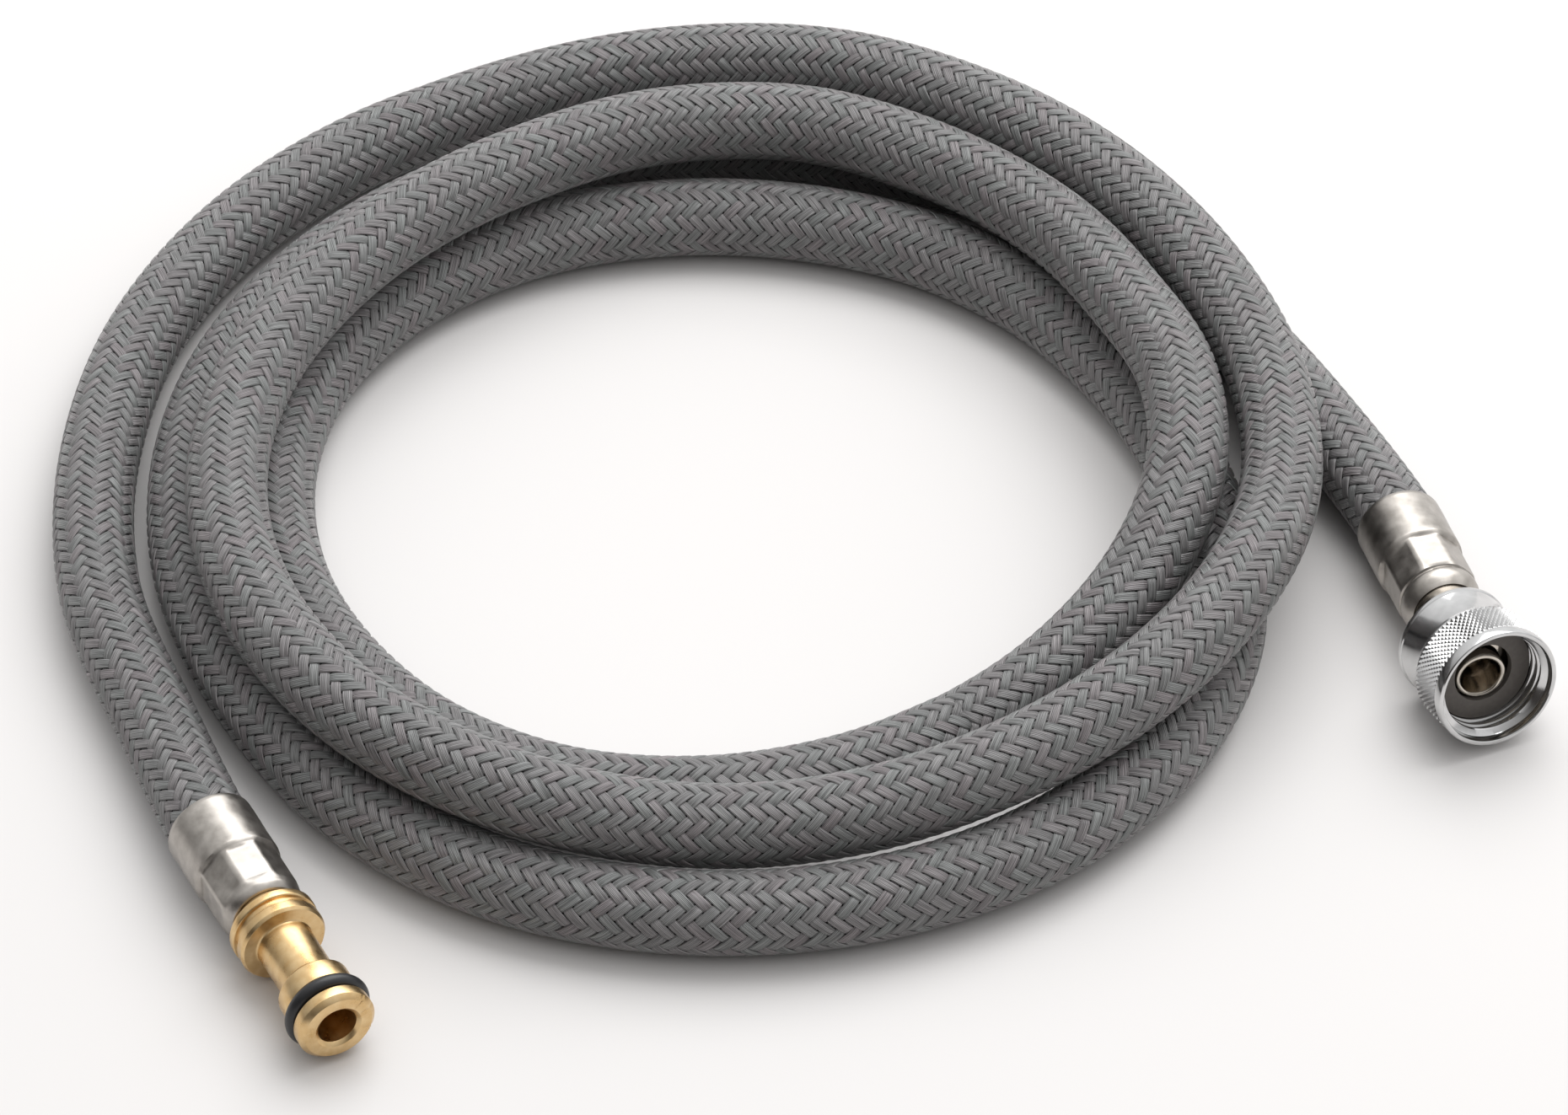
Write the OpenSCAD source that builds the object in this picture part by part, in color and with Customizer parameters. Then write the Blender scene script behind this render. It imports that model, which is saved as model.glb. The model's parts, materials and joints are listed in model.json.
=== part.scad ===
// Braided supply hose, lying loosely coiled on the floor: an O-ring spigot on one
// end and a swivelling union nut on the other. Millimetres, +Z up, the floor at
// z = 0, and the origin under the middle of the coil.

/* [Hose] */
// Outside diameter over the braid
hose_d = 15; // [12.5:0.5:15]
// Outside diameter of the inner tube
liner_d = 12; // [9.5:0.5:12.5]
// Bore of the inner tube
liner_bore = 8; // [6.5:0.25:9]

/* [Ferrules] */
// Wall of the crimped sleeves
ferrule_wall = 0.5; // [0.3:0.05:0.8]
// Length of the round sleeve that takes the braid
grip_len = 12; // [8:0.5:14]
// Length of the crimped band in front of it
crimp_len = 10; // [7:0.5:13]
// Depth that the crimping jaws press in
crimp_depth = 0.45; // [0.2:0.05:0.6]
// Length of the turned-in lip at the spigot
spigot_lip = 2.4; // [1.5:0.1:4]
// Length of the turned-in lip at the nut
nut_lip = 4.4; // [3:0.1:6]

/* [Spigot] */
// Diameter of the two flanges
flange_d = 16; // [14:0.25:18]
// Diameter of the clip groove between the flanges
clip_groove_d = 14.6; // [12:0.2:15]
// Diameter of the neck
neck_d = 10.1; // [8.5:0.1:11.5]
// Length of the neck
neck_len = 12.2; // [8:0.1:18]
// Diameter of the land behind the O-ring
land_d = 13.2; // [11.5:0.1:14]
// Diameter of the front collar
collar_d = 14.2; // [13:0.1:15]
// Thickness of the O-ring
oring_section = 2.65; // [2:0.05:3]
// Bore at the mouth of the spigot
spigot_bore = 7.1; // [6:0.1:8]
// Depth of that bore
spigot_bore_len = 20; // [12:1:26]

/* [Union nut] */
// Inside diameter of the G1/2 thread, on its crests
thread_minor_d = 18.64; // [18.2:0.02:22.4]
// Wall of the nut, from the thread's crests to the top of the knurl
nut_wall = 2.38; // [1.9:0.02:4.5]
// Wall of the smooth shoulder behind the knurl
shoulder_wall = 1.44; // [1.2:0.02:1.8]
// Length of the smooth shoulder
shoulder_len = 7.6; // [7:0.2:12]
// Length of the knurled band
knurl_len = 7.6; // [6:0.2:12]
// Length of the plain rim in front of the knurl
rim_len = 2.4; // [1.5:0.1:4]
// Depth of the hollow skirt behind the nut's inner collar
skirt_len = 4.9; // [3:0.1:6]
// Thickness of the inner collar, which holds the nut on its stem
inner_collar_t = 1; // [0.8:0.1:1.5]
// Diameter of the nipple inside the nut
nipple_d = 9.4; // [8.6:0.1:11.4]
// Bore of the nipple
nipple_bore = 7.4; // [6.4:0.1:8]
// Length of the nipple
nipple_len = 3.7; // [3.6:0.1:5]
// Thickness of the flat washer
washer_t = 1.4; // [1:0.1:2]
// Thickness of the snap ring's wire
snap_wire_d = 1.1; // [0.8:0.1:1.3]
// End play of the nut each way
nut_play = 0.5; // [0.2:0.1:0.6]

/* [Hidden] */
$fn = 96;

slip = 0.05;          // clearance of pieces pushed together
free_gap = 0.1;       // extra room past the nut's end play
waterway = 5.8;       // bore through both hose tails
barb_pitch = 3.2;
barb_depth = 0.45;
tail_start = 3;       // how far inside the ferrule mouth the tails begin
nip = 0.01;           // how far a cut runs past the face that it opens

// ---- Route of the hose -------------------------------------------------------
// The hose leaves the spigot and runs clockwise. Each row of the coil is one
// twelfth of a turn: [radius, lift], with lift 0 where the hose lies on the floor.
tube_sides = 12;
floor_h = hose_d / 2 * cos(180 / tube_sides);
coil_at = [-7, 4];
coil_from = 150;      // clockwise angle of the first row
coil_step = 30;       // angle between rows
ring_step = 18;       // angle between the rings of the tube
coil = [
    [122, 0], [121.5, 0], [125.5, 0], [128, 0], [120, 8.5], [103.5, 15.5], [97, 14.5], [96, 13],
    [94.8, 15.8], [93.3, 12.1], [93.9, 7.7], [100, 13], [99.5, 15], [95.5, 15], [91, 15.5], [91, 15],
    [95, 13.5], [87.5, 13], [79.5, 15], [79, 16], [75, 7.5], [72, 0], [78, 0], [84.5, 0],
    [86.5, 0], [88.5, 0], [89.5, 0], [86.5, 0], [81.5, 0], [78.5, 0], [76.5, 0], [81.5, 0],
    [94.5, 0], [103, 0], [107.5, 0], [108.5, 0], [104, 0], [104.5, 0], [106, 0], [106, 0],
    [104, 0], [101.5, 0]];
coil_end = 68;        // rings after the first one
run_out = [[52, 86], [68, 71.5], [85, 49], [99, 23]];

// ---- Where the two fittings lie ----------------------------------------------
ferrule_r = hose_d / 2 + slip + ferrule_wall;
band_bore = liner_d / 2 + slip;
band_r = band_bore + ferrule_wall + 1;      // crimped band: the sleeve and the braid crushed in it
spigot_at = [-102, -83.5];
spigot_az = -63;
spigot_h = max(ferrule_r, band_r, flange_d / 2);
stem_at = [110.5, -4.2];
stem_az = -75.5;
stem_h = max(ferrule_r, band_r) + 0.1;
nut_az = -67.5;       // the loose nut leans on its stem: its own heading,
nut_tilt = 10.5;      // how far its mouth points up,
nut_lean = 10;        // and the most that it leans
ferrule_len = grip_len + crimp_len;
nut_d = thread_minor_d + 2 * nut_wall;
nut_gap = 6.9;        // from the nut ferrule's lip to the back of the nut

// ---- Nut end, measured from its ferrule's hose end ---------------------------
// The stem's axis and the nut's own axis cross at nut_seat, inside the stem's flange
stem_r = liner_d / 2;
collar_room = 0.65 + 0.2 * inner_collar_t;            // round the stem, which leans in the nut's collar
stem_flange_r = stem_r + collar_room + 0.75;
stem_flange_t = 1.2;
flange_room = stem_flange_r * sin(nut_lean) + nut_play + free_gap;
nut_back = ferrule_len + nut_lip + nut_gap;
shoulder_end = nut_back + shoulder_len;
knurl_start = shoulder_end + 0.8;
knurl_end = knurl_start + knurl_len;
nut_front = knurl_end + rim_len;
nut_floor = nut_back + skirt_len + inner_collar_t;   // back of the threaded hollow
nut_seat = nut_floor + flange_room + stem_flange_t / 2;
stem_face = nut_seat + stem_flange_t / 2;
nipple_end = stem_face + nipple_len;
washer_start = stem_face + flange_room;
washer_r = thread_minor_d / 2 - free_gap;
washer_hole_r = nipple_d / 2 + 0.95;
snap_ring_r = thread_minor_d / 2 + 0.45;             // middle of the wire
snap_ring_at = nut_back + 0.25;
nut_rest = knurl_start + 0.3;                        // where the nut touches the floor
seat_h = nut_d / 2 * cos(nut_tilt) + (nut_seat - nut_rest) * sin(nut_tilt);
stem_tilt = asin((seat_h - stem_h) / nut_seat);

// ---- Spigot, measured from the ferrule's hose end ----------------------------
grip_r = hose_d / 2 + slip;                 // inside of the grip sleeve
lip_r = band_r - 0.7;
tail_r = liner_bore / 2 - slip / 2;
braid_end = grip_len - 0.5;
liner_end = ferrule_len - 2;
spigot_front = ferrule_len + spigot_lip;
flange_1 = spigot_front + 2;
flange_t = 1.7;
clip_gap = 1.4;
flange_2 = flange_1 + flange_t + clip_gap;
neck_start = flange_2 + flange_t + 0.6;
land_start = neck_start + neck_len;
land_len = 4;
groove_w = oring_section + 0.7;
groove_start = land_start + land_len;
oring_r = collar_d / 2 + 0.7 - oring_section / 2;    // centre of the ring's section
collar_start = groove_start + groove_w;
collar_len = 3;
spigot_end = collar_start + collar_len;

// Puts something that was drawn along +Z on the spigot's, the stem's or the nut's axis
module at_spigot() {
    translate([spigot_at[0], spigot_at[1], spigot_h])
        rotate([0, 90, spigot_az]) children();
}

module at_stem() {
    translate([stem_at[0], stem_at[1], stem_h])
        rotate([0, 90 - stem_tilt, stem_az]) children();
}

module at_nut() {
    translate(in_stem(nut_seat)) rotate([0, 90 - nut_tilt, nut_az])
        translate([0, 0, -nut_seat]) children();
}

// ---- Swept tube --------------------------------------------------------------
function unit(v) = v / norm(v);
function smooth(a, b, c, d, t) =
    0.5 * (2 * b + (c - a) * t + (2 * a - 5 * b + 4 * c - d) * t * t
           + (3 * b - a - 3 * c + d) * t * t * t);
function row(i) = coil[max(0, min(len(coil) - 1, i))];
function coil_row(u) = let (i = floor(u)) smooth(row(i - 1), row(i), row(i + 1), row(i + 2), u - i);
function on_coil(k) =
    let (p = coil_row(k * ring_step / coil_step), a = -coil_from - k * ring_step)
    [coil_at[0] + p[0] * cos(a), coil_at[1] + p[0] * sin(a), floor_h + max(0, p[1])];
function in_spigot(s) = [spigot_at[0] + s * cos(spigot_az), spigot_at[1] + s * sin(spigot_az), spigot_h];
function in_stem(s) =
    [stem_at[0] + s * cos(stem_tilt) * cos(stem_az),
     stem_at[1] + s * cos(stem_tilt) * sin(stem_az),
     stem_h + s * sin(stem_tilt)];

// The whole centre line, with its two ends that deep inside the ferrules
function route(depth) = concat(
    [in_spigot(depth), in_spigot(0)],
    [for (k = [0 : coil_end]) on_coil(k)],
    [for (p = run_out) [p[0], p[1], floor_h]],
    [in_stem(0), in_stem(depth)]);

function heading(p, i) = unit(p[min(i + 1, len(p) - 1)] - p[max(i - 1, 0)]);
function ring(p, i, r) =
    let (t = heading(p, i), side = unit(cross(t, [0, 0, 1])), up = cross(side, t))
    [for (k = [0 : tube_sides - 1])
        let (a = (k + 0.5) * 360 / tube_sides) p[i] + r * (cos(a) * side + sin(a) * up)];

// A tube along the points p. Its outer and inner skins meet in flat ring-shaped ends.
module swept_tube(p, r_out, r_in) {
    n = len(p);
    m = tube_sides;
    skin = n * m;
    polyhedron(
        points = concat([for (i = [0 : n - 1]) each ring(p, i, r_out)],
                        [for (i = [0 : n - 1]) each ring(p, i, r_in)]),
        faces = concat(
            [for (i = [0 : n - 2], k = [0 : m - 1]) let (a = i * m + k, b = i * m + (k + 1) % m)
                each [[a, b, b + m], [a, b + m, a + m]]],
            [for (i = [0 : n - 2], k = [0 : m - 1])
                let (a = skin + i * m + k, b = skin + i * m + (k + 1) % m)
                each [[a, b + m, b], [a, a + m, b + m]]],
            [for (k = [0 : m - 1]) let (a = k, b = (k + 1) % m)
                each [[a, b + skin, b], [a, a + skin, b + skin]]],
            [for (k = [0 : m - 1]) let (a = skin - m + k, b = skin - m + (k + 1) % m)
                each [[a, b, b + skin], [a, b + skin, a + skin]]]));
}

// ---- Hose --------------------------------------------------------------------
// Inner tube that carries the water
module liner() {
    color("ivory")
        swept_tube(route(liner_end), liner_d / 2, liner_bore / 2 / cos(180 / tube_sides));
}

// Braided sleeve over it
module braid() {
    color("dimgray")
        swept_tube(route(braid_end), hose_d / 2, liner_d / 2 + slip);
}

// ---- Ferrules ----------------------------------------------------------------
// Turned sleeve: a round grip, a thinner crimped band and a rounded, turned-in lip
module ferrule(lip) {
    front = ferrule_len + lip;
    difference() {
        rotate_extrude() polygon([
            [grip_r, 0], [ferrule_r - 0.15, 0], [ferrule_r, 0.3],
            [ferrule_r, grip_len], [band_r, grip_len + 0.6],
            [band_r, ferrule_len], [band_r - 0.25, ferrule_len + 0.3],
            [band_r - 0.1, ferrule_len + 0.3 * lip], [lip_r, ferrule_len + 0.75 * lip],
            [lip_r - 0.35, front], [band_bore, front],
            [band_bore, grip_len], [grip_r, grip_len - 0.2]]);
        crimp_flats();
    }
}

// Room that the eight crimping jaws take out of the band
module crimp_flats() {
    flat = band_r - crimp_depth;
    translate([0, 0, grip_len + 0.3]) difference() {
        cylinder(h = crimp_len - 0.7, r = ferrule_r + 2);
        translate([0, 0, -1]) rotate([0, 0, 22.5])
            cylinder(h = crimp_len + 4, r = flat / cos(22.5), $fn = 8);
    }
}

module spigot_ferrule() {
    color("silver") at_spigot() ferrule(spigot_lip);
}

module nut_ferrule() {
    color("silver") at_stem() ferrule(nut_lip);
}

// Outline of the barbed tail, which is pushed into the inner tube
function barbs() = [for (s = [tail_start : barb_pitch : liner_end - barb_pitch])
    each [[tail_r - barb_depth, s], [tail_r, s + barb_pitch - 0.4], [tail_r, s + barb_pitch - 0.05]]];

// ---- Spigot ------------------------------------------------------------------
module spigot_body() {
    plug_r = band_bore - slip;
    groove_r = oring_r - oring_section / 2 - slip / 2;
    color("goldenrod") at_spigot() difference() {
        rotate_extrude() polygon(concat(
            [[0, tail_start]], barbs(),
            [[tail_r, liner_end], [plug_r, liner_end], [plug_r, flange_1],
             [flange_d / 2 - 0.3, flange_1], [flange_d / 2, flange_1 + 0.3],
             [flange_d / 2, flange_1 + flange_t - 0.2], [flange_d / 2 - 0.2, flange_1 + flange_t],
             [clip_groove_d / 2, flange_1 + flange_t], [clip_groove_d / 2, flange_2],
             [flange_d / 2 - 0.3, flange_2], [flange_d / 2 - 0.1, flange_2 + 0.2],
             [flange_d / 2 - 0.1, flange_2 + flange_t], [flange_d / 2 - 0.5, neck_start],
             [neck_d / 2 + 0.5, neck_start], [neck_d / 2, neck_start + 0.5],
             [neck_d / 2, land_start - 1.4], [land_d / 2, land_start],
             [land_d / 2, groove_start], [groove_r, groove_start],
             [groove_r, collar_start], [collar_d / 2 - 0.2, collar_start],
             [collar_d / 2, collar_start + 0.2], [collar_d / 2, spigot_end - 0.9],
             [collar_d / 2 - 0.9, spigot_end], [0, spigot_end]]));
        translate([0, 0, tail_start - 1]) cylinder(h = spigot_end, d = waterway);
        translate([0, 0, spigot_end - spigot_bore_len])
            cylinder(h = spigot_bore_len + 1, d = spigot_bore);
        translate([0, 0, spigot_end - 0.6])
            cylinder(h = 0.6 + nip, d1 = spigot_bore, d2 = spigot_bore + 1.4);
    }
}

module spigot_o_ring() {
    color("black") at_spigot() translate([0, 0, groove_start + groove_w / 2])
        rotate_extrude() translate([oring_r, 0]) circle(d = oring_section, $fn = 32);
}

// ---- Nut end -----------------------------------------------------------------
// Insert: barbed tail, neck, the flange that holds the nut, and the nipple
module nut_stem() {
    color("gainsboro") at_stem() difference() {
        rotate_extrude() polygon(concat(
            [[0, tail_start]], barbs(),
            [[tail_r, liner_end], [stem_r, liner_end], [stem_r, stem_face - stem_flange_t],
             [stem_flange_r - 0.2, stem_face - stem_flange_t],
             [stem_flange_r, stem_face - stem_flange_t + 0.2],
             [stem_flange_r, stem_face - 0.2], [stem_flange_r - 0.2, stem_face],
             [nipple_d / 2, stem_face], [nipple_d / 2, nipple_end - 0.3],
             [nipple_d / 2 - 0.3, nipple_end], [0, nipple_end]]));
        translate([0, 0, tail_start - 1]) cylinder(h = nipple_end, d = waterway);
        translate([0, 0, nipple_end - 8]) cylinder(h = 9, d = nipple_bore);
    }
}

// Split wire ring in the back mouth of the nut
module snap_ring() {
    color("gray") at_nut() translate([0, 0, snap_ring_at]) difference() {
        rotate_extrude() translate([snap_ring_r, 0]) circle(d = snap_wire_d, $fn = 24);
        rotate([0, 0, 200]) translate([0, -0.6, -snap_wire_d]) cube([nut_d, 1.2, 2 * snap_wire_d]);
    }
}

module flat_washer() {
    color("darkgray") at_nut() translate([0, 0, washer_start]) difference() {
        cylinder(h = washer_t, r = washer_r);
        translate([0, 0, -1]) cylinder(h = washer_t + 2, r = washer_hole_r);
    }
}

// Union nut: a hollow skirt, an inner collar and the threaded hollow, which is drawn
// plain at the diameter of the thread's crests
module swivel_nut() {
    crest_r = thread_minor_d / 2;
    shoulder_r = crest_r + shoulder_wall;
    knurl_r = nut_d / 2;
    mouth_r = crest_r + 0.58 * nut_wall;
    color("lightgray") at_nut() difference() {
        rotate_extrude() polygon([
            [0, nut_back], [shoulder_r - 0.5, nut_back], [shoulder_r, nut_back + 0.5],
            [shoulder_r, nut_back + 1], [shoulder_r - 0.2, nut_back + 1.3],
            [shoulder_r - 0.2, shoulder_end - 0.4], [shoulder_r, shoulder_end],
            [knurl_r - 0.3, knurl_start], [knurl_r, knurl_start + 0.3],
            [knurl_r, knurl_end - 0.3], [knurl_r - 0.25, knurl_end],
            [knurl_r - 0.2, nut_front - 0.3], [knurl_r - 0.35, nut_front], [0, nut_front]]);
        translate([0, 0, nut_back - 1]) cylinder(h = nut_front, r = stem_r + collar_room);
        translate([0, 0, nut_back - 1]) cylinder(h = skirt_len + 1, d = thread_minor_d);
        translate([0, 0, nut_floor]) cylinder(h = nut_front, d = thread_minor_d);
        translate([0, 0, nut_front - 1.3])
            cylinder(h = 1.3 + nip, r1 = crest_r, r2 = mouth_r);
        translate([0, 0, snap_ring_at]) rotate_extrude()
            translate([snap_ring_r, 0]) circle(d = snap_wire_d + 2 * slip, $fn = 24);
    }
}

liner();
braid();
spigot_ferrule();
spigot_body();
spigot_o_ring();
nut_ferrule();
nut_stem();
snap_ring();
flat_washer();
swivel_nut();
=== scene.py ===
import json
import math

import bmesh
import bpy
import numpy as np
from mathutils import Matrix, Vector


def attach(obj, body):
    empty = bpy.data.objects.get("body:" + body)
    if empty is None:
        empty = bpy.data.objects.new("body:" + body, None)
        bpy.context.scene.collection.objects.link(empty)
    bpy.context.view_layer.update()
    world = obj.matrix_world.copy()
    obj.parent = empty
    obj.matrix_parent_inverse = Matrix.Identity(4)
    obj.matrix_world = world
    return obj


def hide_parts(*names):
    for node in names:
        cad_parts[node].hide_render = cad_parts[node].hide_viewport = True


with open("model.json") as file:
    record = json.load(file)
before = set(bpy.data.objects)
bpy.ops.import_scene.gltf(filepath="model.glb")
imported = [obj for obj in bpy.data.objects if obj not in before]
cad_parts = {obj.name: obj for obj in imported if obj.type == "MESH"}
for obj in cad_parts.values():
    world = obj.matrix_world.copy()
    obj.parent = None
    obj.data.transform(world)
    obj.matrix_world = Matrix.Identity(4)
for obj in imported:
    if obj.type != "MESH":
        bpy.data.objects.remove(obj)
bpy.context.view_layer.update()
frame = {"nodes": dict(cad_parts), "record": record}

MM = 0.001
scene = bpy.context.scene
mounts = {mount["name"]: mount for mount in frame["record"]["mounts"]}


# ---- Camera ----------------------------------------------------------------------
# A long lens on a studio stand, looking down at the coil from the side of its two open ends.
LOOK_DOWN = math.radians(42)
STAND_OFF = 1300 * MM
LOOK_AT = Vector((-1.9, -3.9, 0)) * MM
LENS = 162.6                  # focal length, mm
SENSOR = 36                   # width of the sensor, mm

camera_data = bpy.data.cameras.new("camera")
camera_data.lens = LENS
camera_data.sensor_width = SENSOR
camera = bpy.data.objects.new("camera", camera_data)
camera.location = LOOK_AT + STAND_OFF * Vector((0, -math.cos(LOOK_DOWN), math.sin(LOOK_DOWN)))
camera.rotation_euler = (math.pi / 2 - LOOK_DOWN, 0, 0)
scene.collection.objects.link(camera)
scene.camera = camera


# ---- Lie of the hose ---------------------------------------------------------------
# The hose leaves its spigot, winds clockwise nearly three and a half turns and runs out to
# the union nut. Each row of the coil is a twelfth of a turn: radius and lift off the floor.
HOSE_D = 15
LINER_D = 12
BRAID_IN_FERRULE = 11.5      # how far the braid reaches into a ferrule
LINER_IN_FERRULE = 20
FLOOR_TO_MIDDLE = HOSE_D / 2 * math.cos(math.pi / 12)
COIL_AT = (-7, 4)
COIL_FROM = 150
COIL_STEP = 30
RING_STEP = 18
COIL_END = 68
COIL = [
    (122, 0), (121.5, 0), (125.5, 0), (128, 0), (120, 8.5), (103.5, 15.5),
    (97, 14.5), (96, 13), (94.8, 15.8), (93.3, 12.1), (93.9, 7.7), (100, 13),
    (99.5, 15), (95.5, 15), (91, 15.5), (91, 15), (95, 13.5), (87.5, 13),
    (79.5, 15), (79, 16), (75, 7.5), (72, 0), (78, 0), (84.5, 0),
    (86.5, 0), (88.5, 0), (89.5, 0), (86.5, 0), (81.5, 0), (78.5, 0),
    (76.5, 0), (81.5, 0), (94.5, 0), (103, 0), (107.5, 0), (108.5, 0),
    (104, 0), (104.5, 0), (106, 0), (106, 0), (104, 0), (101.5, 0)]
RUN_OUT = [(52, 86), (68, 71.5), (85, 49), (99, 23)]
FINE_POINTS = 9000            # points of the finished curve
PRESSED = 0.3                 # how far the hose is pressed flat where it rests on the floor

# Stations along each end, measured from its ferrule's hose end
SPIGOT_FRONT = 54.35
NIPPLE_END = 46.02
PORT_DEPTH = 4                # how far the nut end's port lies inside the nipple
spigot_axis = Vector(mounts["spigot_seat"]["axis"])
stem_axis = Vector(mounts["nut_port"]["axis"])
spigot_start = Vector(mounts["spigot_seat"]["pos_m"]) / MM - SPIGOT_FRONT * spigot_axis
stem_start = Vector(mounts["nut_port"]["pos_m"]) / MM - (NIPPLE_END - PORT_DEPTH) * stem_axis


def smooth(points, t):
    """Point t of an even curve through points, with t counted in points."""
    points = np.asarray(points, float)
    i = np.clip(np.floor(t).astype(int), 0, len(points) - 2)
    f = (t - i)[:, None]
    last = len(points) - 1
    a, b, c, d = (points[np.clip(i + k, 0, last)] for k in (-1, 0, 1, 2))
    return 0.5 * (2 * b + (c - a) * f + (2 * a - 5 * b + 4 * c - d) * f**2
                  + (3 * b - a - 3 * c + d) * f**3)


def lie():
    """The middle of the hose in mm, from inside the spigot's ferrule to inside the nut's."""
    k = np.arange(COIL_END + 1.0)
    radius, lift = smooth(COIL, k * RING_STEP / COIL_STEP).T
    angle = np.radians(-COIL_FROM - k * RING_STEP)
    coil = np.column_stack([
        COIL_AT[0] + radius * np.cos(angle),
        COIL_AT[1] + radius * np.sin(angle),
        FLOOR_TO_MIDDLE + np.maximum(0, lift)])
    corners = np.vstack([
        spigot_start + LINER_IN_FERRULE * spigot_axis,
        spigot_start,
        coil,
        [(x, y, FLOOR_TO_MIDDLE) for x, y in RUN_OUT],
        stem_start,
        stem_start + LINER_IN_FERRULE * stem_axis])
    # Knots a square root of the chord apart keep the curve from looping at close corners
    chord = np.linalg.norm(np.diff(corners, axis=0), axis=1)
    knots = np.concatenate([[0], np.cumsum(np.sqrt(chord))])
    slope = np.gradient(corners, knots, axis=0)
    fine = np.linspace(0, knots[-1], FINE_POINTS)
    i = np.clip(np.searchsorted(knots, fine) - 1, 0, len(chord) - 1)
    span = (knots[i + 1] - knots[i])[:, None]
    f = (fine - knots[i])[:, None] / span
    points = ((2 * f**3 - 3 * f**2 + 1) * corners[i]
              + (f**3 - 2 * f**2 + f) * span * slope[i]
              + (3 * f**2 - 2 * f**3) * corners[i + 1]
              + (f**3 - f**2) * span * slope[i + 1])
    points[:, 2] = np.maximum(points[:, 2], FLOOR_TO_MIDDLE)
    return points


middle = lie()
reach = np.concatenate([[0], np.cumsum(np.linalg.norm(np.diff(middle, axis=0), axis=1))])
heading = np.gradient(middle, axis=0)
heading /= np.linalg.norm(heading, axis=1)[:, None]
sideways = np.cross(heading, (0, 0, 1))
sideways /= np.linalg.norm(sideways, axis=1)[:, None]
upwards = np.cross(sideways, heading)
BRAID_FROM = LINER_IN_FERRULE - BRAID_IN_FERRULE
BRAID_TO = reach[-1] - BRAID_FROM


def on_hose(along, turn, radius):
    """Points in metres, from a distance along the hose, an angle round it and a radius."""
    def at(values):
        return np.stack([np.interp(along, reach, values[:, k]) for k in range(3)], axis=-1)
    place = at(middle) + radius[..., None] * (
        np.cos(turn)[..., None] * at(sideways) + np.sin(turn)[..., None] * at(upwards))
    low = place[..., 2] < PRESSED
    place[..., 2][low] = PRESSED * np.exp(place[..., 2][low] / PRESSED - 1)
    return place * MM


# ---- Inner tube --------------------------------------------------------------------
# The tube that carries the water, extruded in a pale polymer and pushed over the barbed
# tails of both fittings. The braid hides it.
LINER_WALL = 2
TUBE_SIDES = 24
RING_EVERY = 3                # distance between the rings of a tube
SAME_POINT = 1e-7             # vertices closer than this are one, in metres


def colour(hex_code):
    """Linear RGBA of an sRGB hex colour."""
    values = [int(hex_code[i:i + 2], 16) / 255 for i in (0, 2, 4)]
    return (*[v / 12.92 if v <= 0.04045 else ((v + 0.055) / 1.055) ** 2.4 for v in values], 1)


def node(tree, kind, settings=None, **inputs):
    """Adds a shader node, sets its options, and fills its inputs by name, or by number as i0."""
    made = tree.nodes.new("ShaderNode" + kind)
    for option, value in (settings or {}).items():
        setattr(made, option, value)
    for name, value in inputs.items():
        numbered = name[0] == "i" and name[1:].isdigit()
        key = int(name[1:]) if numbered else name.replace("_", " ")
        socket = made.inputs[key]
        if isinstance(value, bpy.types.NodeSocket):
            tree.links.new(value, socket)
        else:
            socket.default_value = value
    return made


def material(name):
    """A new material, its node tree and its Principled shader."""
    made = bpy.data.materials.new(name)
    made.use_nodes = True
    return made, made.node_tree, made.node_tree.nodes["Principled BSDF"]


def dress(piece, finish):
    """Gives a piece one material."""
    piece.data.materials.clear()
    piece.data.materials.append(finish)


def piece_from(bm, name, body, finish, sharp=35):
    """Makes a bmesh a finished piece that rides on a body."""
    bmesh.ops.recalc_face_normals(bm, faces=bm.faces)
    mesh = bpy.data.meshes.new(name)
    bm.to_mesh(mesh)
    bm.free()
    mesh.shade_smooth()
    mesh.set_sharp_from_angle(angle=math.radians(sharp))
    piece = bpy.data.objects.new(name, mesh)
    scene.collection.objects.link(piece)
    dress(piece, finish)
    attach(piece, body)
    return piece


def wrapped_grid(columns, rows):
    """A bmesh grid, and for each of its vertices the column and row that it is in."""
    bm = bmesh.new()
    bmesh.ops.create_grid(bm, x_segments=columns - 1, y_segments=rows - 1, size=1)
    spots = np.array([v.co for v in bm.verts])
    column = np.rint((spots[:, 0] + 1) / 2 * (columns - 1)).astype(int)
    row = np.rint((spots[:, 1] + 1) / 2 * (rows - 1)).astype(int)
    return bm, column, row


def place(bm, points):
    """Moves every vertex of a bmesh to its point."""
    for vertex, point in zip(bm.verts, points):
        vertex.co = point
    bmesh.ops.remove_doubles(bm, verts=bm.verts, dist=SAME_POINT)


liner_polymer, tree, shader = material("extruded_polymer")
grain = node(tree, "TexNoise", Vector=node(tree, "TexCoord").outputs["Object"], Scale=400.0)
tone = node(tree, "ValToRGB", Fac=grain.outputs["Fac"])
tone.color_ramp.elements[0].color = colour("d8d5cb")
tone.color_ramp.elements[1].color = colour("e6e3da")
tree.links.new(tone.outputs["Color"], shader.inputs["Base Color"])
shader.inputs["Roughness"].default_value = 0.45
shader.inputs["IOR"].default_value = 1.5


def hose_layer(name, radius, wall, start, end, finish):
    """A round tube with a wall, along the hose."""
    rings = int((end - start) / RING_EVERY)
    bm, ring, side = wrapped_grid(rings, TUBE_SIDES + 1)
    along = start + (end - start) * ring / (rings - 1)
    place(bm, on_hose(along, side * 2 * math.pi / TUBE_SIDES, np.full(len(ring), radius)))
    piece = piece_from(bm, name, "hose", finish, sharp=60)
    shell = piece.modifiers.new("wall", "SOLIDIFY")
    shell.thickness = wall * MM
    shell.offset = -1
    return piece


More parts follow.
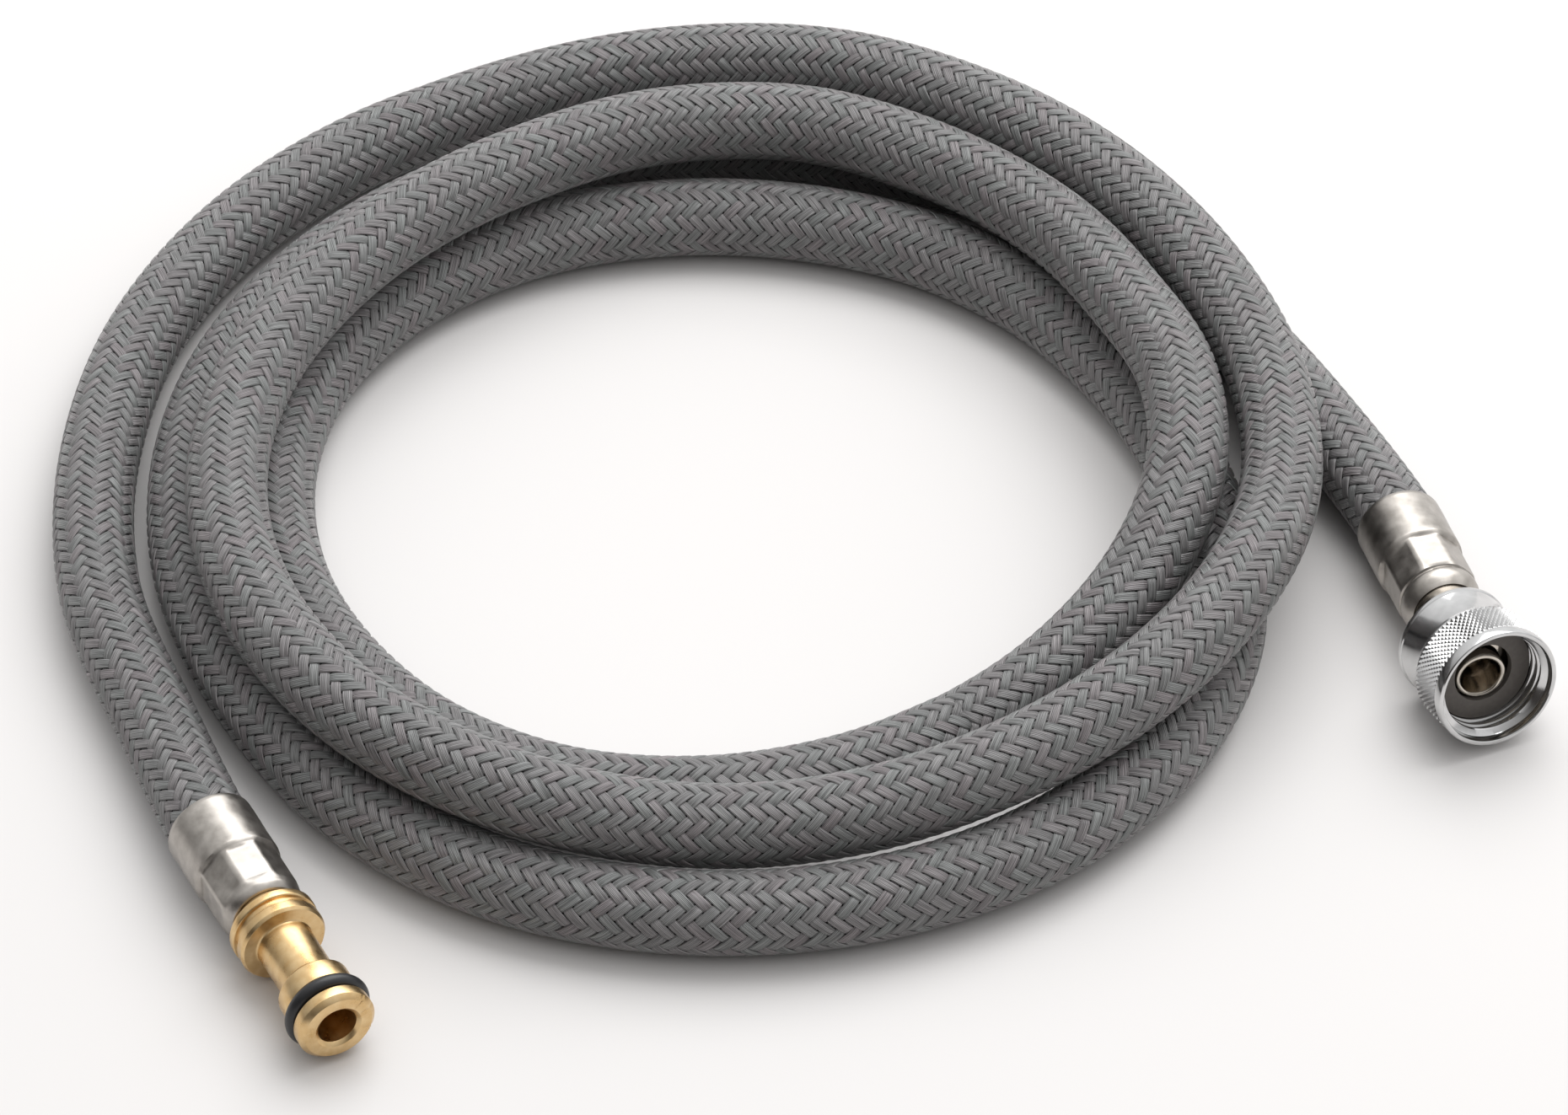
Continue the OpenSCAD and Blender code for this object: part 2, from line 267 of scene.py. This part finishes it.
liner = hose_layer("liner_tube", LINER_D / 2, LINER_WALL, 0, reach[-1],
                   liner_polymer)
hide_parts("liner")


# ---- Painted shade under the braid ---------------------------------------------------
# A near-black sheet laid straight over the tube, as painted shade: it shows only as the dark
# gaps between the bundles of the braid, where shade falls.
GROUND_R = 6.86
GROUND_WALL = 0.75

# Painted shade: a near-black colour that stands in for the shade deep in the gaps between bundles.
painted_shade_sheet, tree, shader = material("dark_filler_yarn")
sheet_noise = node(tree, "TexNoise", Vector=node(tree, "TexCoord").outputs["Object"], Scale=1500.0)
tone = node(tree, "ValToRGB", Fac=sheet_noise.outputs["Fac"])
tone.color_ramp.elements[0].color = colour("100f0f")
tone.color_ramp.elements[1].color = colour("262424")
tree.links.new(tone.outputs["Color"], shader.inputs["Base Color"])
shader.inputs["Roughness"].default_value = 0.8

ground = hose_layer("braid_shade_sheet", GROUND_R, GROUND_WALL, BRAID_FROM, BRAID_TO,
                    painted_shade_sheet)
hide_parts("braid")


# ---- Braid ---------------------------------------------------------------------------
# Thirty-two flat bundles of nylon filament, sixteen wound each way, each passing over two
# and under two. The floats stand in sixteen rows along the hose, leaning left and right by
# turns.
CARRIERS = 16                  # bundles each way
PICK = 2.86                    # distance along the hose from one bundle to the next, mm
FLOAT_LEAN = 0.96              # lean of a float, as a share of the bundle's mean lean
BUNDLE_W = 1.8
BUNDLE_T = 0.3
FILAMENTS = 7.2                # filaments side by side in a bundle, 0.25 mm each
BRAID_TOP = HOSE_D / 2
TOP_ROOM = 0.12                # room over a bundle, as a share of its thickness
FLOAT_RISE = 0.22              # half the height from the bottom to the top of a bundle's wave
FLOAT_CROWN = 0.05             # extra height at the middle of a float
# Lengths along a bundle are in crossings. One wave takes four, and starts at its float's middle
WAVE = 4
DIP_TO = 1.03                  # where a bundle has gone half under its neighbours
DIP_HALF = 0.26                # half the stretch that it goes under in
UNDER_FROM = 1.3               # from here on it is squeezed to a share of its width
UNDER_W = 0.88
START_FREE = 0.3               # a bundle starts this far inside the braid's end
END_FREE = 0.3                 # and ends this many millimetres before the other
STEPS = np.array([-1.17, -0.92, -0.5, 0, 0.5, 0.92, 1.17, 2.0])
# Section of a bundle: across as a share of its half width, and up as a share of its thickness
SECTION = np.array([(-1, -0.8), (-0.9, -0.1), (-0.4, 0.1), (0.4, 0.1), (0.9, -0.1), (1, -0.8),
                    (-1, -0.8)])

nylon, tree, shader = material("braided_nylon_filament")
weave = node(tree, "Attribute", {"attribute_name": "weave"})
parts = node(tree, "SeparateXYZ", Vector=weave.outputs["Vector"])
# Y runs from -1 to 1 across a bundle, so half the filaments lie on each side of its middle
filament = node(tree, "Math", {"operation": "MULTIPLY"}, i0=parts.outputs["Y"], i1=FILAMENTS / 2)
ridge = node(tree, "Math", {"operation": "PINGPONG"}, i0=filament.outputs[0], i1=0.5)
stretched = node(tree, "Math", {"operation": "MULTIPLY"}, i0=parts.outputs["X"], i1=0.12)
streaks = node(tree, "CombineXYZ", X=stretched.outputs[0], Y=filament.outputs[0],
               Z=parts.outputs["Z"])
streak = node(tree, "TexNoise", {"noise_dimensions": "3D"}, Vector=streaks.outputs[0],
              Scale=1.3, Detail=2.0)
bundle = node(tree, "TexWhiteNoise", {"noise_dimensions": "1D"}, W=parts.outputs["Z"])
tone = node(tree, "ValToRGB", Fac=streak.outputs["Fac"])
tone.color_ramp.elements[0].position = 0.3
tone.color_ramp.elements[0].color = colour("5b5a5b")
tone.color_ramp.elements[1].position = 0.75
tone.color_ramp.elements[1].color = colour("a5a4a5")
tint = node(tree, "ValToRGB", Fac=bundle.outputs["Value"])
tint.color_ramp.elements[0].color = colour("fdf4f5")
tint.color_ramp.elements[1].color = colour("f3fbf7")
dyed = node(tree, "Mix", {"data_type": "RGBA", "blend_type": "MULTIPLY"}, i0=1.0,
            i6=tone.outputs["Color"], i7=tint.outputs["Color"])
# Painted shade: the colour falls to three tenths in the valleys between filaments, where shade lies.
painted_valley_shade = node(tree, "MapRange", Value=ridge.outputs[0], From_Min=0.0, From_Max=0.26,
              To_Min=0.3, To_Max=1.0)
with_painted_shade = node(tree, "Mix", {"data_type": "RGBA", "blend_type": "MULTIPLY"}, i0=1.0,
             i6=dyed.outputs[2], i7=painted_valley_shade.outputs[0])
relief = node(tree, "Bump", Strength=1.0, Distance=0.12 * MM, Height=ridge.outputs[0])
tree.links.new(with_painted_shade.outputs[2], shader.inputs["Base Color"])
tree.links.new(relief.outputs["Normal"], shader.inputs["Normal"])
shader.inputs["Roughness"].default_value = 0.34
shader.inputs["IOR"].default_value = 1.53


def gather(bm, other):
    """Adds a second bmesh to the first, and frees it."""
    part = bpy.data.meshes.new("part")
    other.to_mesh(part)
    other.free()
    bm.from_mesh(part)
    bpy.data.meshes.remove(part)


def bundles(name, hand, numbers):
    """The bundles of one hand (1 or -1) with these numbers, as one piece."""
    crossing = PICK / 2
    turn_step = math.pi / CARRIERS
    bow = (1 - FLOAT_LEAN) * 2 / math.pi
    braid_length = BRAID_TO - BRAID_FROM
    gathered = bmesh.new()
    gathered.verts.layers.float_vector.new("weave")
    for number in numbers:
        first = 0.5 - 2 * number if hand > 0 else 2 * number - 2.5
        floats = first % WAVE - WAVE + WAVE * np.arange(int(braid_length / crossing / WAVE) + 2)
        crossings = (floats[:, None] + STEPS).ravel()
        wave = np.tile(STEPS, len(floats))
        keep = (crossings > START_FREE) & (crossings * crossing < braid_length - END_FREE)
        crossings, wave = crossings[keep], wave[keep]
        bm, ring, side = wrapped_grid(len(crossings), len(SECTION))
        crossings, wave = crossings[ring], wave[ring]
        across, up = SECTION[side].T
        # A float leans a little less than its bundle, which makes up for it where it is under
        home = 2 * number + hand * (crossings - wave)
        turn = (home + hand * (wave - bow * np.sin(math.pi * wave / 2))) * turn_step
        rise = np.sin(np.clip((DIP_TO - np.abs(wave)) / DIP_HALF, -1, 1) * math.pi / 2)
        crown = np.where(np.abs(wave) < 1, np.cos(wave * math.pi / 2) * FLOAT_CROWN, 0)
        radius = (BRAID_TOP - BUNDLE_T * TOP_ROOM - FLOAT_RISE + FLOAT_RISE * rise
                  - FLOAT_CROWN + crown + up * BUNDLE_T)
        # The section stands square to the bundle, so it is turned by the bundle's lean
        lean_round = hand * BRAID_TOP * turn_step * (
            1 - bow * math.pi / 2 * np.cos(math.pi * wave / 2))
        length = np.hypot(crossing, lean_round)
        half = BUNDLE_W / 2 * np.where(np.abs(wave) > UNDER_FROM, UNDER_W, 1) * across
        along = BRAID_FROM + crossings * crossing - half * lean_round / length
        turn = turn + half * crossing / length / BRAID_TOP
        tag = bm.verts.layers.float_vector.new("weave")
        for vertex, lengthways, crossways in zip(bm.verts, crossings * 2.0, across):
            vertex[tag] = (lengthways, crossways, number + (0 if hand > 0 else CARRIERS))
        place(bm, on_hose(np.clip(along, BRAID_FROM, BRAID_TO), turn, radius))
        bmesh.ops.holes_fill(bm, edges=[e for e in bm.edges if e.is_boundary])
        gather(gathered, bm)
    return piece_from(gathered, name, "hose", nylon, sharp=58)


PER_PIECE = 4                  # bundles that make one piece
for hand, side_name in ((1, "right"), (-1, "left")):
    for first in range(0, CARRIERS, PER_PIECE):
        name = f"braid_{side_name}_{first // PER_PIECE + 1}"
        bundles(name, hand, range(first, first + PER_PIECE))


# ---- Crimped ferrules ----------------------------------------------------------------
# Sleeves drawn from stainless steel tube. The round end grips the braid, and eight jaws
# have pressed the front into soft flats over the fitting's barbs.
GRIP_LEN = 12
FERRULE_LEN = 22
FERRULE_R = 8.05
BAND_R = 7.55
BAND_BORE = 6.05
JAW_FLAT = 7.1                # distance of a pressed flat from the axis
JAWS = 8
JAW_RUN_IN = 0.7              # length that a jaw's flat takes to reach its full depth
JAW_RUN_OUT = 1.3
GRIP_BORE = 7.55
DENTS = (0.02, 0.012)         # small waves left in the sleeve by the jaws
MARK_DEPTH = 0.01             # depth of the rings that a lathe tool leaves
CORNER = 0.6                  # corners that turn more than this are eased, in radians
SEAM = 1e-4                   # vertices closer than this are one, in millimetres


def turned(outline, sides=128, ease=0.0):
    """A bmesh of an outline of (radius, station), spun round +Z, with its corners eased."""
    bm = bmesh.new()
    verts = [bm.verts.new((r, 0, s)) for r, s in outline]
    edges = [bm.edges.new(pair) for pair in zip(verts, verts[1:])]
    bmesh.ops.spin(bm, geom=verts + edges, axis=(0, 0, 1), angle=2 * math.pi, steps=sides,
                   use_merge=True)
    bmesh.ops.remove_doubles(bm, verts=bm.verts, dist=SEAM)
    if ease:
        bmesh.ops.recalc_face_normals(bm, faces=bm.faces)
        corners = [e for e in bm.edges
                   if len(e.link_faces) == 2 and e.calc_face_angle() > CORNER]
        bmesh.ops.bevel(bm, geom=corners, offset=ease, segments=2, profile=0.5, affect="EDGES",
                        clamp_overlap=True, material=-1)
    return bm


def on_axis(bm, start, axis, name, finish, slot, sharp=35):
    """Puts what was drawn in millimetres along +Z on a fitting's axis, with -X to the sky."""
    lathe = bm.verts.layers.float_vector.new("lathe")
    for v in bm.verts:
        v[lathe] = (math.hypot(v.co.x, v.co.y), math.atan2(v.co.y, v.co.x), v.co.z)
    level = Vector((0, 0, 1)).cross(axis).normalized()
    down = level.cross(axis)
    turn = Matrix((down, level, axis)).transposed().to_4x4()
    placed = Matrix.Translation(start * MM) @ turn @ Matrix.Scale(MM, 4)
    bmesh.ops.transform(bm, matrix=placed, verts=bm.verts)
    return piece_from(bm, name, "nut" if slot == "nut_chrome" else "hose", finish, sharp)


def metal(name, dark, light, roughness, marks, scuffs):
    """Turned or drawn metal: fine rings from the tool, and scuffs that change its gloss."""
    made, tree, shader = material(name)
    drawn = node(tree, "Attribute", {"attribute_name": "lathe"})
    lathe = node(tree, "SeparateXYZ", Vector=drawn.outputs["Vector"])
    # Radius plus station changes along a straight wall and across a flat face alike
    line = node(tree, "Math", {"operation": "ADD"}, i0=lathe.outputs["X"], i1=lathe.outputs["Z"])
    rings = node(tree, "TexNoise", {"noise_dimensions": "1D"}, W=line.outputs[0],
                 Scale=9.0, Detail=3.0)
    spots = node(tree, "TexNoise", Vector=node(tree, "TexCoord").outputs["Object"],
                 Scale=420.0, Detail=4.0)
    tone = node(tree, "ValToRGB", Fac=spots.outputs["Fac"])
    tone.color_ramp.elements[0].position = 0.3
    tone.color_ramp.elements[0].color = colour(dark)
    tone.color_ramp.elements[1].position = 0.7
    tone.color_ramp.elements[1].color = colour(light)
    gloss = node(tree, "MapRange", Value=spots.outputs["Fac"], From_Min=0.3, From_Max=0.7,
                 To_Min=roughness - scuffs, To_Max=roughness + scuffs)
    relief = node(tree, "Bump", Strength=marks, Distance=MARK_DEPTH * MM,
                  Height=rings.outputs["Fac"])
    tree.links.new(tone.outputs["Color"], shader.inputs["Base Color"])
    tree.links.new(gloss.outputs[0], shader.inputs["Roughness"])
    tree.links.new(relief.outputs["Normal"], shader.inputs["Normal"])
    shader.inputs["Metallic"].default_value = 1.0
    return made


stainless = metal("stainless_steel_drawn", "9c9791", "b9b4ae", 0.34, 0.5, 0.05)


def ferrule(name, start, axis, lip, jaw_starts):
    """A crimped sleeve with this lip, whose jaws begin at slightly different stations."""
    steps = [GRIP_LEN + 0.9 + 0.35 * k for k in range(25)]
    outline = [(GRIP_BORE, 0), (FERRULE_R - 0.15, 0.0), (FERRULE_R, 0.25)]
    outline += [(FERRULE_R, 1.0 + k * 0.9) for k in range(13)]
    outline += [(FERRULE_R - 0.06, GRIP_LEN + 0.25), (BAND_R + 0.12, GRIP_LEN + 0.65)]
    outline += [(BAND_R, s) for s in steps if s < FERRULE_LEN - 0.1]
    outline += lip + [(BAND_BORE, lip[-1][1]), (BAND_BORE, GRIP_LEN),
                      (GRIP_BORE, GRIP_LEN - 0.2), (GRIP_BORE, 0)]
    bm = turned(outline, 144)
    outside = (BAND_BORE + JAW_FLAT) / 2        # what lies within this is the bore
    jaw_angle = 2 * math.pi / JAWS
    for v in bm.verts:
        radius = math.hypot(v.co.x, v.co.y)
        angle = math.atan2(v.co.y, v.co.x)
        if radius < outside:
            continue
        jaw = int(round(angle / jaw_angle)) % JAWS
        off = (angle + jaw_angle / 2) % jaw_angle - jaw_angle / 2
        run_in = min(1, max(0, (v.co.z - jaw_starts[jaw]) / JAW_RUN_IN))
        run_out = min(1, max(0, (FERRULE_LEN + 0.5 - v.co.z) / JAW_RUN_OUT))
        depth = run_in * run_out
        flat = JAW_FLAT / math.cos(off)
        pressed = radius - max(0, radius - flat) * depth * depth * (3 - 2 * depth)
        dents = DENTS[0] * math.sin(3 * angle + 0.7 * v.co.z)
        dents += DENTS[1] * math.sin(5 * angle - 0.5 * v.co.z)
        share = 1 if radius > (BAND_R + FERRULE_R) / 2 else 0.3
        scale = (pressed + dents * share) / radius
        v.co.x *= scale
        v.co.y *= scale
    return on_axis(bm, start, axis, name, stainless, "ferrule_steel", sharp=40)


# Outlines of the two lips, as (radius, station)
spigot_lip = [(BAND_R - 0.12, 22.1), (BAND_R - 0.28, 22.4), (BAND_R - 0.26, 22.9),
              (BAND_R - 0.45, 23.4), (BAND_R - 0.75, 23.9), (BAND_R - 1.05, 24.25),
              (BAND_R - 1.25, 24.4)]
nut_lip = [(BAND_R - 0.15, 22.0), (BAND_R - 0.5, 22.2), (BAND_R - 0.52, 22.5), (BAND_R - 0.3, 22.8),
           (BAND_R - 0.2, 23.3), (BAND_R - 0.22, 23.9), (BAND_R - 0.38, 24.6), (BAND_R - 0.65, 25.2),
           (BAND_R - 1.0, 25.8), (BAND_R - 1.25, 26.2), (BAND_R - 1.4, 26.4)]
spigot_sleeve = ferrule("spigot_ferrule_crimped", spigot_start, spigot_axis, spigot_lip,
                        (12.3, 12.1, 12.6, 12.2, 12.9, 12.4, 12.1, 12.5))
nut_sleeve = ferrule("nut_ferrule_crimped", stem_start, stem_axis, nut_lip,
                     (12.2, 12.6, 12.3, 12.1, 12.5, 12.8, 12.2, 12.4))
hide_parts("spigot_ferrule")
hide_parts("nut_ferrule")


# ---- Spigot --------------------------------------------------------------------------
# Machined brass, turned from bar: two flanges for the clip, a slim neck, a land, the
# O-ring groove and a chamfered front collar.
brass = metal("turned_brass", "cdaa76", "e3c798", 0.3, 1.0, 0.05)

# Outline as (radius, station)
tail = [(2.9, 3), (3.55, 3.4), (3.97, 6.0), (3.97, 20), (6.0, 20), (6.0, 26.4)]
back_flange = [(7.75, 26.4), (8.0, 26.65), (8.0, 27.9), (7.8, 28.1)]
clip_groove = [(7.3, 28.15), (7.3, 29.45)]
front_flange = [(7.75, 29.5), (7.9, 29.7), (7.9, 31.2), (7.5, 31.8)]
neck = [(5.55, 31.8), (5.15, 32.0), (5.05, 32.4), (5.05, 42.6), (5.3, 42.9)]
land = [(6.45, 43.9), (6.6, 44.1), (6.6, 47.9), (6.4, 48)]
ring_groove = [(5.11, 48), (5.11, 51.35)]
collar = [(6.9, 51.35), (7.1, 51.55), (7.1, 53.45), (6.2, 54.35), (4.9, 54.35)]
bore = [(4.25, 54.35), (3.55, 53.75), (3.55, 34.35), (2.9, 34.3), (2.9, 3)]
bm = turned(tail + back_flange + clip_groove + front_flange + neck + land + ring_groove + collar
            + bore, 144, ease=0.05)
NICKS = (1.15, 1.9, 2.3)      # small tool nicks round the front face, in radians
NICK_HALF = 0.03
NICK_DEEP = 0.14
for v in bm.verts:
    angle = math.atan2(v.co.y, v.co.x)
    on_face = v.co.z > 53.3 and math.hypot(v.co.x, v.co.y) > 4.8
    if on_face and min(abs(angle - nick) for nick in NICKS) < NICK_HALF:
        v.co.z -= NICK_DEEP
spigot_brass = on_axis(bm, spigot_start, spigot_axis, "spigot_turned", brass, "spigot_brass",
                       sharp=30)
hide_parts("spigot_body")


# ---- O-ring ----------------------------------------------------------------------------
# Moulded nitrile rubber, stretched into the groove.
nitrile, tree, shader = material("nitrile_rubber")
dust = node(tree, "TexNoise", Vector=node(tree, "TexCoord").outputs["Object"], Scale=900.0)
tone = node(tree, "ValToRGB", Fac=dust.outputs["Fac"])
tone.color_ramp.elements[0].color = colour("161618")
tone.color_ramp.elements[1].color = colour("242427")
tree.links.new(tone.outputs["Color"], shader.inputs["Base Color"])
shader.inputs["Roughness"].default_value = 0.38
shader.inputs["IOR"].default_value = 1.52
dress(frame["nodes"]["spigot_o_ring"], nitrile)


# ---- Stem of the nut end ----------------------------------------------------------------
# Nickel-plated brass insert: the flange that holds the nut, and the nipple that shows in
# the nut's mouth.
nickel = metal("nickel_plate", "b3aca2", "c9c2b8", 0.12, 0.3, 0.03)

tail = [(2.9, 3), (3.55, 3.4), (3.97, 6.0), (3.97, 20), (6.0, 20), (6.0, 41.12)]
holding_flange = [(7.4, 41.12), (7.6, 41.32), (7.6, 42.12), (7.4, 42.32)]
nipple = [(4.7, 42.32), (4.7, 45.6), (4.5, 45.95), (4.1, NIPPLE_END), (3.85, 45.9)]
bore = [(3.7, 45.6), (3.7, 38.02), (2.9, 38), (2.9, 3)]
bm = turned(tail + holding_flange + nipple + bore, 128, ease=0.04)
stem = on_axis(bm, stem_start, stem_axis, "stem_turned", nickel, "stem_nickel", sharp=30)
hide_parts("nut_stem")


# ---- Snap ring and washer ---------------------------------------------------------------
# Bright spring wire in the back mouth of the nut, and a flat washer of grey rubber.
spring_wire, tree, shader = material("spring_steel_wire")
draw = node(tree, "TexNoise", Vector=node(tree, "TexCoord").outputs["Object"], Scale=800.0)
tone = node(tree, "ValToRGB", Fac=draw.outputs["Fac"])
tone.color_ramp.elements[0].color = colour("8f8c88")
tone.color_ramp.elements[1].color = colour("a8a5a1")
tree.links.new(tone.outputs["Color"], shader.inputs["Base Color"])
shader.inputs["Metallic"].default_value = 1.0
shader.inputs["Roughness"].default_value = 0.3
dress(frame["nodes"]["snap_ring"], spring_wire)

washer_rubber, tree, shader = material("grey_washer_rubber")
speck = node(tree, "TexNoise", Vector=node(tree, "TexCoord").outputs["Object"], Scale=1200.0)
tone = node(tree, "ValToRGB", Fac=speck.outputs["Fac"])
tone.color_ramp.elements[0].color = colour("5e5955")
tone.color_ramp.elements[1].color = colour("706b66")
tree.links.new(tone.outputs["Color"], shader.inputs["Base Color"])
shader.inputs["Roughness"].default_value = 0.6
shader.inputs["IOR"].default_value = 1.5
dress(frame["nodes"]["flat_washer"], washer_rubber)


# ---- Union nut ----------------------------------------------------------------------------
# Brass, chrome plated. A smooth shoulder runs up to a band of diamond knurl and a plain rim.
# Inside, the G1/2 thread stands at its real pitch of 14 turns an inch.
NUT_BACK = 33.3
NUT_SEAT = 41.72              # where the stem's axis and the nut's own axis cross
NUT_FLOOR = 39.2
NUT_FRONT = 51.7
COLLAR_BORE = 6.85            # radius of the inner collar's hole, which the stem leans in
COLLAR_T = 1
SHOULDER_R = 10.76
SHOULDER_END = 40.9
KNURL_FROM = 41.7
KNURL_TO = 49.3
KNURL_R = 11.7
KNURL_DEEP = 0.42
KNURL_ROUND = 74              # diamonds round the nut
KNURL_ROWS = 12               # half diamonds along it
THREAD_PITCH = 1.814
CREST_R = 9.32
ROOT_R = 10.48
MOUTH = 1.3                   # depth of the chamfer at the mouth
THREAD_SIDES = 120
THREAD_FADE = 0.9             # length that the thread takes to run out at the mouth
RIM_R = KNURL_R - 0.1
# One turn of thread as (share of the pitch, share of its depth), rounded at crest and root
THREAD_FORM = [(0, 0), (0.14, 0.0), (0.28, 0.08), (0.5, 0.8), (0.56, 0.97), (0.64, 1),
               (0.7, 0.9), (0.9, 0.1)]

nut_axis = Vector(mounts["nut_thread"]["axis"])
nut_start = stem_start + NUT_SEAT * stem_axis - NUT_SEAT * nut_axis

bm = turned([
    (CREST_R + 0.02, NUT_FLOOR), (COLLAR_BORE, NUT_FLOOR), (COLLAR_BORE, NUT_FLOOR - COLLAR_T),
    (CREST_R, NUT_FLOOR - COLLAR_T),
    (CREST_R, NUT_BACK), (SHOULDER_R - 0.45, NUT_BACK), (SHOULDER_R - 0.1, NUT_BACK + 0.15),
    (SHOULDER_R, NUT_BACK + 0.45), (SHOULDER_R, NUT_BACK + 0.95), (SHOULDER_R - 0.18, NUT_BACK + 1.15),
    (SHOULDER_R - 0.2, NUT_BACK + 1.5), (SHOULDER_R - 0.2, SHOULDER_END - 0.5),
    (SHOULDER_R, SHOULDER_END),
    (KNURL_R - 0.45, KNURL_FROM - 0.12), (KNURL_R - KNURL_DEEP, KNURL_FROM)], 144)
rim = turned([
    (KNURL_R - KNURL_DEEP, KNURL_TO), (RIM_R - 0.05, KNURL_TO + 0.15), (RIM_R, KNURL_TO + 0.4),
    (RIM_R, NUT_FRONT - 0.5), (RIM_R - 0.1, NUT_FRONT - 0.15), (RIM_R - 0.3, NUT_FRONT),
    (ROOT_R + 0.37, NUT_FRONT), (ROOT_R + 0.2, NUT_FRONT - 0.12), (ROOT_R, NUT_FRONT - 0.75),
    (ROOT_R, NUT_FRONT - MOUTH)], 144)


def wrapped(column, columns, station, radius):
    """Points of a grid wrapped round +Z."""
    angle = 2 * math.pi * column / (columns - 1)
    return np.column_stack([radius * np.cos(angle), radius * np.sin(angle), station])


# Knurl: high and low points by turns, with the low ones joined, make four-sided diamonds
knurl_columns = 2 * KNURL_ROUND + 1
knurl, column, row = wrapped_grid(knurl_columns, KNURL_ROWS + 1)
low = (column + row) % 2 == 1
low |= (row == 0) | (row == KNURL_ROWS)
bmesh.ops.connect_verts(knurl, verts=[v for v, is_low in zip(knurl.verts, low) if is_low])
station = KNURL_FROM + (KNURL_TO - KNURL_FROM) * row / KNURL_ROWS
place(knurl, wrapped(column, knurl_columns, station, KNURL_R - KNURL_DEEP * low))

# Thread: the grid is sheared so that its rows follow the helix
thread_turns = int((NUT_FRONT - NUT_FLOOR) / THREAD_PITCH) + 3
form_rows = len(THREAD_FORM)
form = np.array([THREAD_FORM[k % form_rows] for k in range(thread_turns * form_rows + 1)])
thread, column, row = wrapped_grid(THREAD_SIDES + 1, thread_turns * form_rows + 1)
share = form[row, 0] + row // form_rows
station = NUT_FLOOR - 1.5 * THREAD_PITCH + THREAD_PITCH * (share + column / THREAD_SIDES)
runout = np.clip((NUT_FRONT - MOUTH - station) / THREAD_FADE, 0, 1)
deep = 1 - (1 - form[row, 1]) * runout
place(thread, wrapped(column, THREAD_SIDES + 1,
                      np.clip(station, NUT_FLOOR, NUT_FRONT - MOUTH),
                      CREST_R + (ROOT_R - CREST_R) * deep))
bmesh.ops.dissolve_degenerate(thread, edges=thread.edges, dist=SEAM)

for other in (rim, knurl, thread):
    gather(bm, other)
chrome = metal("chrome_plate", "c4c4c4", "d0d0d0", 0.13, 0.25, 0.02)
nut_shell = on_axis(bm, nut_start, nut_axis, "nut_knurled", chrome, "nut_chrome", sharp=28)
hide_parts("swivel_nut")


# ---- Studio ----------------------------------------------------------------------------
# White paper floor in a light tent that is brightest behind and above, under a large soft box.
FLOOR_HALF = 3                # half the floor's width, in metres
TENT = Vector((0.3, 0.55, 0.8)).normalized()      # where the light tent is brightest
TENT_STRENGTH = 1.12
OVERHEAD_AT = (0.25, 0.6, 1.05)
OVERHEAD_SIZE = 1.2           # metres
OVERHEAD_POWER = 13.5         # watts

floor_mesh = bpy.data.meshes.new("floor")
bm = bmesh.new()
bmesh.ops.create_grid(bm, x_segments=1, y_segments=1, size=FLOOR_HALF)
bm.to_mesh(floor_mesh)
bm.free()
floor = bpy.data.objects.new("floor", floor_mesh)
scene.collection.objects.link(floor)
paper, tree, shader = material("white_paper")
shader.inputs["Base Color"].default_value = colour("dddbda")
shader.inputs["Roughness"].default_value = 0.9
shader.inputs["Specular IOR Level"].default_value = 0.1
dress(floor, paper)

scene.view_settings.view_transform = "Standard"
world = bpy.data.worlds.new("studio")
world.use_nodes = True
tree = world.node_tree
facing = node(tree, "VectorMath", {"operation": "DOT_PRODUCT"},
              i0=node(tree, "TexCoord").outputs["Generated"], i1=TENT)
share = node(tree, "MapRange", Value=facing.outputs["Value"], From_Min=-1.0, From_Max=1.0)
walls = node(tree, "ValToRGB", Fac=share.outputs[0])
walls.color_ramp.elements[0].position = 0.35
walls.color_ramp.elements[0].color = colour("403d3b")
walls.color_ramp.elements[1].position = 0.88
walls.color_ramp.elements[1].color = colour("ffffff")
tree.links.new(walls.outputs["Color"], tree.nodes["Background"].inputs["Color"])
tree.nodes["Background"].inputs["Strength"].default_value = TENT_STRENGTH
scene.world = world


def soft_box(name, at, towards, size, power):
    """A square studio light."""
    lamp = bpy.data.lights.new(name, "AREA")
    lamp.size = size
    lamp.energy = power
    made = bpy.data.objects.new(name, lamp)
    made.location = at
    made.rotation_euler = (Vector(towards) - Vector(at)).to_track_quat("-Z", "Y").to_euler()
    scene.collection.objects.link(made)


soft_box("overhead", OVERHEAD_AT, (0, 0, 0), OVERHEAD_SIZE, OVERHEAD_POWER)
